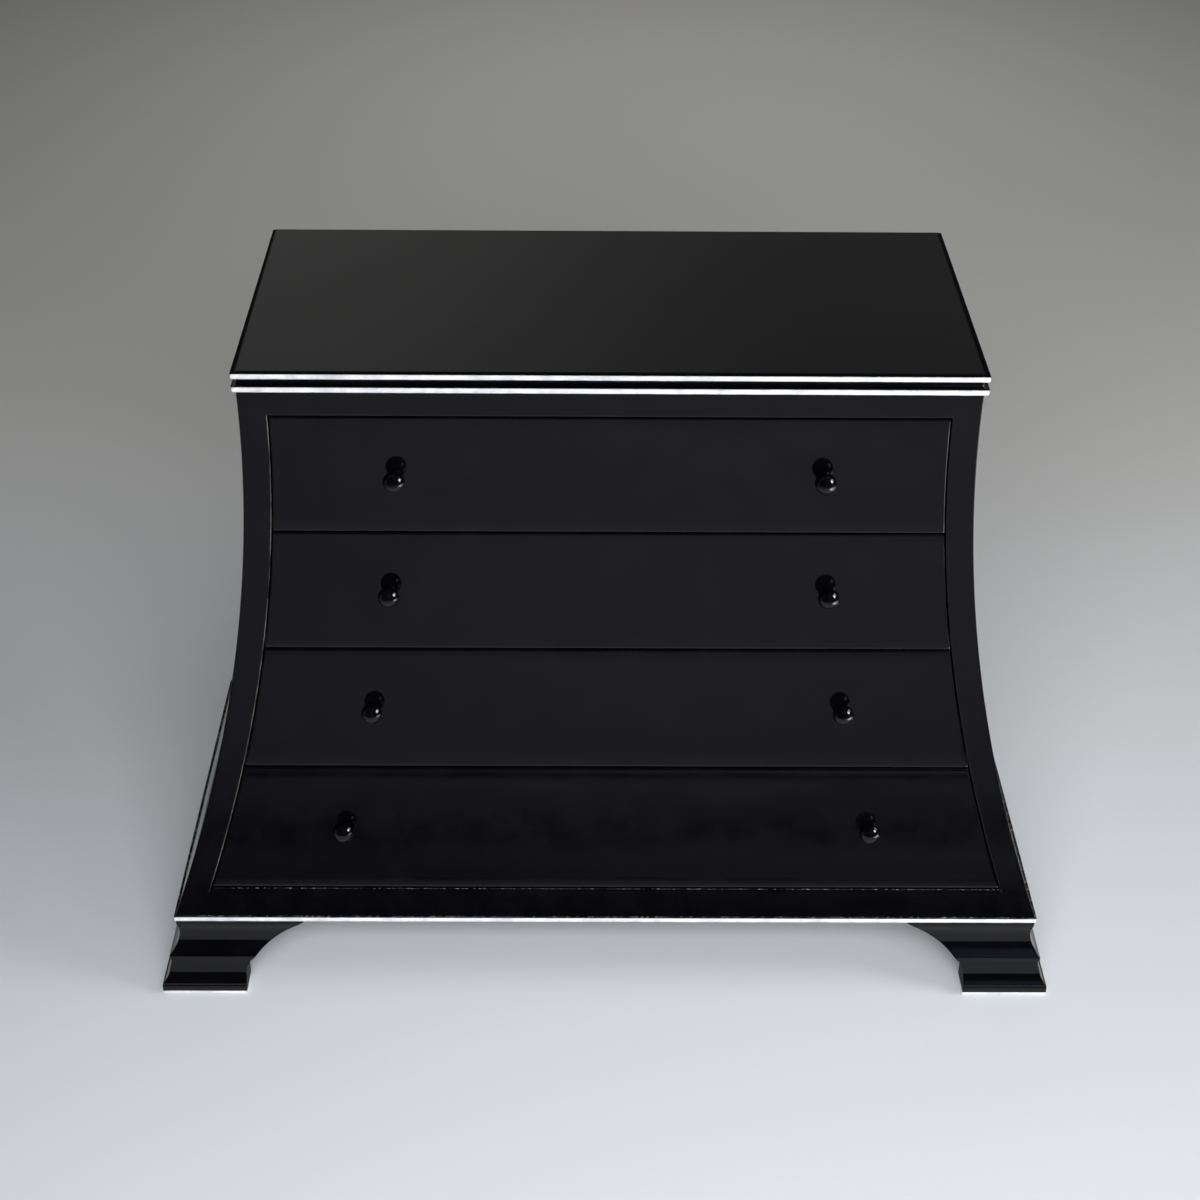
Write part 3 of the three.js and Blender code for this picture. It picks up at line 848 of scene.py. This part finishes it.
def add_back_foot(settings, side, word):
    """A moulded leg along the side, and a plain bracket along the back, lacquered on its back alone."""
    case, feet, z, o = settings.case, settings.feet, foot_levels(settings), foot_outsets(settings)
    shift = case.rear - o["plinth"]

    def pick(face):
        way, x = face.normal, abs(face.calc_center_median().x)
        if x < case.half_top + o["inner"] + NEARLY:
            return 0 if way.y > BACKWARD else 1
        return 2 if way.x * side < SLIGHT and way.y < SLIGHT and way.z < SLIGHT else 0

    def side_leg(face, inner, top, line):
        return [leg_ring(face, inner, top, under, along(case, side, shift + s)) for s, under in line]

    arch = arch_line(settings)
    leg = side_leg(foot_face(settings), o["inner"], z["top"], arch + [(o["plinth"], z["bottom"])])
    back = brace(settings, side, arch[:-1] + [(o["inner"] + NEARLY, z["bottom"])], z["top"])
    add_lacquered(f"foot_back_{word}", [leg, back], *UNDER_FOOT, pick=pick, bevel=LEG_BEVEL)
    inner = o["inner"] + feet.sole_inset
    leg = side_leg(sole_face(settings), inner, feet.sole, [(o["plinth_end"], 0.0), (o["plinth"], 0.0)])
    back = brace(settings, side, [(o["plinth_end"], 0.0), (inner + NEARLY, 0.0)], feet.sole)
    add_leafed(f"foot_sole_back_{word}", [leg, back])


def add_side(settings, side, word):
    """A side of the case and the stile in front of it, lacquered over so that their joint doesn't show.

    The inner arris of the left stile has a painted highlight: a full pale film in the colour of the dust.
    """
    case = settings.case
    wall, stile = [], []
    opening = highest("base_rail").z, lowest("top_rail").z
    steps, beside = 48, 0.0005
    heights = between(case.bottom, case.top, steps)
    # The arris beside the drawers starts and stops between two levels
    heights += [z + off for z in opening for off in (-beside, beside)]
    for z in sorted(heights):
        outer, front = half_case(case, z), face_y(case, z)
        joint = front + case.frame_depth
        wall.append(outline(*on_side(side, outer - case.side, outer), joint, case.rear, SQUARE, z))
        arris = case.arris if opening[0] < z < opening[1] else WELD / 2
        radii = rounded_at(side, case.corner, arris)
        stile.append(outline(*on_side(side, outer - case.stile, outer), front, joint, radii, z))

    # The left stile's inner arris, facing right and front, takes the painted highlight
    def pick(face):
        return side < 0 and face.normal.x > ASLANT and face.normal.y < -ASLANT

    add_lacquered(f"side_{word}", [wall])
    add_lacquered(f"stile_{word}", [stile], PAINTED_GLINT, pick=pick)


def add_rail(settings, node, foot, head):
    """A rail between the stiles, with the edge beside the drawers eased."""
    case = settings.case
    rings = []
    for z, inset in levels(*heights_of(node), 6, foot, head):
        half = half_case(case, z) - case.stile
        front = face_y(case, z)
        rings.append(outline(-half, half, front + inset, front + case.frame_depth, SQUARE, z))

    # The rail's eased upper arris takes the chips and their painted highlight
    def pick(face):
        return head and face.normal.z > UPWARD and face.normal.y < -ASLANT

    add_lacquered(node, [rings], CHIPS_AND_GLINT, pick=pick)


def add_drawer_front(settings, number):
    """A swept drawer front: lacquer on its face and edges, bare sealed wood inside."""
    case, drawers = settings.case, settings.drawers
    node = f"drawer_{number}_front"
    easing, least_radius = drawers.easing, 0.00005
    low, high = heights_of(node)
    rings = []
    for z, inset in levels(low, high, 40, easing, easing):
        half = half_case(case, z) - case.stile - drawers.gap - inset
        near_edge = max(0.0, 1 - min(z - low, high - z) / drawers.roll_height)
        front = face_y(case, z) + drawers.roll * near_edge**2
        radius = max(easing - inset, least_radius)
        back = front + drawers.front - inset
        rings.append(outline(-half, half, front + inset, back, (radius, radius, 0, 0), z))
    add_lacquered(
        node, [rings], "sealed_oak_x", body=f"drawer_{number}", pick=lambda face: face.normal.y > BACKWARD
    )


def add_drawer_box(settings, number):
    """Sides and back of a drawer, with rounded upper edges. The bottom keeps its CAD shape."""
    case, drawers = settings.case, settings.drawers
    body, slot = f"drawer_{number}", "drawer_wood"
    for _, word in SIDES:
        node = f"{body}_side_{word}"
        low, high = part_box(node)
        rings = []
        for z, inset in levels(low.z, high.z, 16, 0, drawers.box_easing, MARGIN / 2):
            front = face_y(case, z) + drawers.front
            rings.append(outline(low.x + inset, high.x - inset, front, high.y, SQUARE, z))
        add_piece(f"{node}_planed", [rings], ["sealed_oak_y"], body, [node])
    node = f"{body}_back"
    low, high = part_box(node)
    rings = [
        outline(low.x, high.x, low.y + inset, high.y - inset, SQUARE, z)
        for z, inset in levels(low.z, high.z, 2, 0, drawers.box_easing, MARGIN / 2)
    ]
    add_piece(f"{node}_planed", [rings], ["sealed_oak_x"], body, [node])


def knob_profile(knobs):
    """Radius and distance off the drawer front, from the collar to the end of the ball."""
    start, steps = math.asin(knobs.neck / knobs.ball), 24
    neck_top = knobs.standoff - knobs.ball * math.cos(start)
    spread, spread_off, neck_off, easing = 0.0004, 0.0012, 0.0026, 0.0005
    collar = [
        (0.0, 0.0),
        (knobs.collar, 0.0),
        (knobs.collar, knobs.collar_height),
        (knobs.neck + spread, knobs.collar_height + spread_off),
        (knobs.neck, knobs.collar_height + neck_off),
        (knobs.neck, neck_top),
    ]
    ball = [
        (knobs.ball * math.sin(a), knobs.standoff - knobs.ball * math.cos(a))
        for a in between(start, math.pi, steps)[1:]
    ]
    return eased(collar, easing) + ball


def add_knob(settings, number, word):
    """A knob turned from one piece: a small collar, a short neck and a ball."""
    case = settings.case
    body, front = f"drawer_{number}", f"drawer_{number}_front"
    node = f"{body}_knob_{word}"
    z = sum(heights_of(front)) / 2
    x = (lowest(node).x + highest(node).x) / 2
    upright = Matrix.Rotation(math.pi / 2 - lean(case, z), 4, "X")
    place = Matrix.Translation((x, face_y(case, z), z)) @ upright
    facets, least_radius = 48, 1e-7
    rings = []
    for radius, off in knob_profile(settings.knobs):
        r = max(radius, least_radius)
        turn = between(0, 2 * math.pi, facets)[:-1]
        rings.append([place @ Vector((r * math.cos(a), r * math.sin(a), off)) for a in turn])
    add_piece(f"{node}_turned", [rings], [LACQUER], body, [node])


class COMMODE_OT_build_top(Operator):
    """Builds the two boards of the top, the hollow neck between them and their beads"""

    bl_idname = "commode.build_top"
    bl_label = "Top boards and beads"

    def execute(self, context):
        settings = context.scene.commode
        case, boards = settings.case, settings.boards
        edge_board(settings, "top_board", "top_bead", 0.0, boards.fall, boards.border)
        edge_board(settings, "sub_top", "sub_top_bead", 0.0)
        edge_bead(settings, "top_bead", 0.0)
        edge_bead(settings, "sub_top_bead", 0.0)
        low, high = heights_of("top_neck")
        steps = [
            (-boards.neck_recess - boards.neck_hollow * math.sin(math.pi * t), low + (high - low) * t)
            for t in between(0, 1, steps=10)
        ]
        add_lacquered("top_neck", [plan_board(case, steps)])
        return {"FINISHED"}


class COMMODE_OT_build_case(Operator):
    """Builds the swept sides, the stiles and the two rails of the case"""

    bl_idname = "commode.build_case"
    bl_label = "Sides, stiles and rails"

    def execute(self, context):
        settings = context.scene.commode
        for side, word in SIDES:
            add_side(settings, side, word)
        add_rail(settings, "top_rail", settings.case.arris, 0)
        add_rail(settings, "base_rail", 0, settings.case.arris)
        return {"FINISHED"}


class COMMODE_OT_build_base(Operator):
    """Builds the beaded board under the case"""

    bl_idname = "commode.build_base"
    bl_label = "Base board and bead"

    def execute(self, context):
        settings = context.scene.commode
        outset = base_outset(settings)
        edge_board(settings, "base_board", "base_bead", outset)
        edge_bead(settings, "base_bead", outset)
        return {"FINISHED"}


class COMMODE_OT_build_feet(Operator):
    """Builds the four bracket feet and their silvered soles"""

    bl_idname = "commode.build_feet"
    bl_label = "Bracket feet and soles"

    def execute(self, context):
        settings = context.scene.commode
        for side, word in SIDES:
            add_front_foot(settings, side, word)
            add_back_foot(settings, side, word)
        return {"FINISHED"}


class COMMODE_OT_build_drawer_fronts(Operator):
    """Builds the four swept drawer fronts"""

    bl_idname = "commode.build_drawer_fronts"
    bl_label = "Drawer fronts"

    def execute(self, context):
        for number in DRAWERS:
            add_drawer_front(context.scene.commode, number)
        return {"FINISHED"}


class COMMODE_OT_build_drawer_boxes(Operator):
    """Builds the sides and backs of the four drawers and finishes their bottoms"""

    bl_idname = "commode.build_drawer_boxes"
    bl_label = "Drawer boxes"

    def execute(self, context):
        for number in DRAWERS:
            add_drawer_box(context.scene.commode, number)
            finish_node(f"drawer_{number}_bottom", "sealed_oak_x")
        return {"FINISHED"}


class COMMODE_OT_build_knobs(Operator):
    """Builds two turned knobs on each drawer"""

    bl_idname = "commode.build_knobs"
    bl_label = "Knobs"

    def execute(self, context):
        for number in DRAWERS:
            for _, word in SIDES:
                add_knob(context.scene.commode, number, word)
        return {"FINISHED"}


class COMMODE_OT_finish_inside(Operator):
    """Stains the back, the bottom, the dividers and the runners, whose CAD shapes stay"""

    bl_idname = "commode.finish_inside"
    bl_label = "Back, dividers and runners"

    def execute(self, context):
        for node in ("back_panel", "bottom_panel"):
            finish_node(node, "stained_poplar_x")
        # Each drawer but the lowest runs over a divider of its own
        for number in DRAWERS[:-1]:
            finish_node(f"divider_rail_{number}", "stained_poplar_x")
            for _, word in SIDES:
                finish_node(f"runner_{word}_{number}", "stained_poplar_y")
        return {"FINISHED"}


# Place, target, width and height in metres, and spread in degrees
LAMPS = {
    "side": ((2.9, -0.62, 2.2), (0, -0.3, 0.7), (1.1, 1.3), 180),
    "low": ((1.4, -0.75, 0.02), (1.4, -0.75, 1.0), (1.0, 0.9), 180),
    "key": ((1.7, -2.3, 2.0), (0, -0.3, 0.2), (0.8, 0.6), 180),
    "fill": ((0, -3.2, 2.1), (0, -0.5, 0), (2.4, 1.8), 100),
    "soft": ((2.9, -0.62, 2.2), (0, -0.3, 0.7), (1.5, 1.3), 180),
    "back": ((0.3, 3.6, 3.0), (0.3, 3.6, 0), (2.0, 1.5), 120),
}
# The fit of the photograph's perspective gave the camera's place, and its angles in degrees
CAMERA_PLACE = (-0.0364, -2.5646, 2.0515)
CAMERA_TILT, CAMERA_TURN, CAMERA_ROLL = 32.0, 0.6116, 0.5253
SENSOR_WIDTH = 36.0  # millimetres
FLOOR_ENDS = (-7.0, 7.0), (-4.0, 9.0)  # metres from the chest, along X and along Y


class COMMODE_OT_build_stage(Operator):
    """Builds the floor, the lamps, the surroundings and the camera"""

    bl_idname = "commode.build_stage"
    bl_label = "Floor, lamps and camera"

    def execute(self, context):
        stage = context.scene.commode.stage
        add_floor(stage)
        for name, how in LAMPS.items():
            lamp = add_lamp(f"{name}_lamp", getattr(stage, f"{name}_power"), *how)
            # The gloss shows only the side and the low lamp, and the side lamp lights nothing else
            lamp.visible_glossy = name in ("side", "low")
            lamp.visible_diffuse = name != "side"
        set_surroundings(stage)
        add_camera(stage)
        context.scene.view_settings.view_transform = "Standard"
        return {"FINISHED"}


def add_floor(stage):
    """A pale matt floor, made greyer in front of the chest by painted shade. It ends 4 m in front."""
    steps = 12
    row = steps + 1
    xs, ys = [between(*ends, steps) for ends in FLOOR_ENDS]
    corners = [j * row + i for j in range(steps) for i in range(steps)]
    faces = [(i, i + 1, i + row + 1, i + row) for i in corners]
    mesh = bpy.data.meshes.new("floor")
    mesh.from_pydata([(x, y, 0.0) for y in ys for x in xs], [], faces)
    material, add, place = new_material("matt_painted_floor")
    depth = add("SeparateXYZ", [place]).outputs["Y"]
    # The tones change between two places along Y: towards the back, and then towards the front, where the
    # darker tone is painted shade
    paint = stage.near_floor
    for start, end, tone in ((-0.4, 2.0, stage.far_floor), (-0.7, -1.8, stage.front_floor_shade)):
        reach = add("MapRange", [depth, start, end], interpolation_type="SMOOTHSTEP")
        paint = add("Mix", {"Factor": reach, "A": paint, "B": tone}, data_type="RGBA")
    add("OutputMaterial", [add("BsdfPrincipled", {"Base Color": paint, "Roughness": 0.7})])
    mesh.materials.append(material)
    floor = add_object("floor", mesh)


def add_lamp(name, watts, place, target, size, spread):
    """A soft rectangular lamp that faces a target. The camera doesn't see it."""
    data = bpy.data.lights.new(name, "AREA")
    data.energy, data.shape, data.spread = watts, "RECTANGLE", math.radians(spread)
    data.size, data.size_y = size
    lamp = add_object(name, data)
    lamp.location = place
    lamp.rotation_euler = (Vector(target) - Vector(place)).to_track_quat("-Z", "Y").to_euler()
    lamp.visible_camera = False
    return lamp


def set_surroundings(stage):
    """A dim room with grey walls round the chest, and a cool window high at the front, on the right."""
    world = bpy.data.worlds.new("studio")
    world.use_nodes = True
    world.node_tree.nodes.clear()
    add = partial(add_node, world.node_tree)
    way = add("SeparateXYZ", [add("TexCoord").outputs["Generated"]])
    # Each part goes from its left to its right tone round the middle, and covers the ways between its
    # limits. Each limit fades from the first number to the second.
    wall = stage.wall_left, stage.wall_right
    low_wall = stage.low_wall_left, stage.low_wall_right
    window = stage.window, stage.window
    parts = (
        (wall, (("Y", 0.3, 0.5), ("Z", 0.62, 0.5), ("X", -0.25, -0.18), ("X", 0.25, 0.18))),
        (wall, (("Y", -0.45, -0.1), ("Z", 0.28, 0.2))),
        (low_wall, (("Y", -0.3, -0.6), ("Z", 0.01, -0.06))),
        (window, (("Y", 0.0, -0.12), ("X", 0.11, 0.2), ("X", 0.3, 0.2), ("Z", 0.3, 0.5))),
    )
    rightward = add("MapRange", [way.outputs["X"], -0.14, 0.12], interpolation_type="SMOOTHSTEP")
    light = stage.room
    for (left, right), limits in parts:
        tone = add("Mix", {"Factor": rightward, "A": left, "B": right}, data_type="RGBA")
        cover = 1.0
        for axis, outside, inside in limits:
            fade = add("MapRange", [way.outputs[axis], outside, inside], interpolation_type="SMOOTHSTEP")
            cover = add("Math", [fade, cover], operation="MULTIPLY")
        light = add("Mix", {"Factor": cover, "A": light, "B": tone}, data_type="RGBA")
    add("OutputWorld", [add("Background", {"Color": light, "Strength": 1.0})])
    bpy.context.scene.world = world


def add_camera(stage):
    """The camera at the photograph's place: tilted 32 degrees down, with a slight turn and roll."""
    tilt, turn, roll = map(math.radians, (CAMERA_TILT, CAMERA_TURN, CAMERA_ROLL))
    forward = Vector((math.sin(turn) * math.cos(tilt), math.cos(turn) * math.cos(tilt), -math.sin(tilt)))
    level = Vector((math.cos(turn), -math.sin(turn), 0))
    up = level.cross(forward)
    right = level * math.cos(roll) + up * math.sin(roll)
    upright = up * math.cos(roll) - level * math.sin(roll)
    data = bpy.data.cameras.new("camera")
    data.sensor_width, data.lens = SENSOR_WIDTH, stage.camera_lens
    camera = add_object("camera", data)
    turned = Matrix((right, upright, -forward)).transposed().to_4x4()
    camera.matrix_world = Matrix.Translation(CAMERA_PLACE) @ turned
    bpy.context.scene.camera = camera


OPERATORS = (
    COMMODE_OT_build_stage,
    COMMODE_OT_build_top,
    COMMODE_OT_build_case,
    COMMODE_OT_build_base,
    COMMODE_OT_build_feet,
    COMMODE_OT_build_drawer_fronts,
    COMMODE_OT_build_drawer_boxes,
    COMMODE_OT_build_knobs,
    COMMODE_OT_finish_inside,
)


class COMMODE_PT_pieces(Panel):
    """Lists what can be built"""

    bl_idname = "COMMODE_PT_pieces"
    bl_label = "Commode chest"
    bl_space_type = "VIEW_3D"
    bl_region_type = "UI"
    bl_category = "Commode"

    def draw(self, context):
        for operator in OPERATORS:
            self.layout.operator(operator.bl_idname)


SIZES = (CaseSizes, BoardSizes, FootSizes, DrawerSizes, KnobSizes)
CLASSES = (*SIZES, FinishColours, StageSettings, CommodeSettings, *OPERATORS, COMMODE_PT_pieces)


def register():
    for each in CLASSES:
        bpy.utils.register_class(each)
    bpy.types.Scene.commode = PointerProperty(type=CommodeSettings)


def unregister():
    del bpy.types.Scene.commode
    for each in reversed(CLASSES):
        bpy.utils.unregister_class(each)


def main():
    register()
    bpy.ops.commode.build_stage()
    bpy.ops.commode.build_top()
    bpy.ops.commode.build_case()
    bpy.ops.commode.build_base()
    bpy.ops.commode.build_feet()
    bpy.ops.commode.build_drawer_fronts()
    bpy.ops.commode.build_drawer_boxes()
    bpy.ops.commode.build_knobs()
    bpy.ops.commode.finish_inside()


if __name__ == "__main__":
    main()
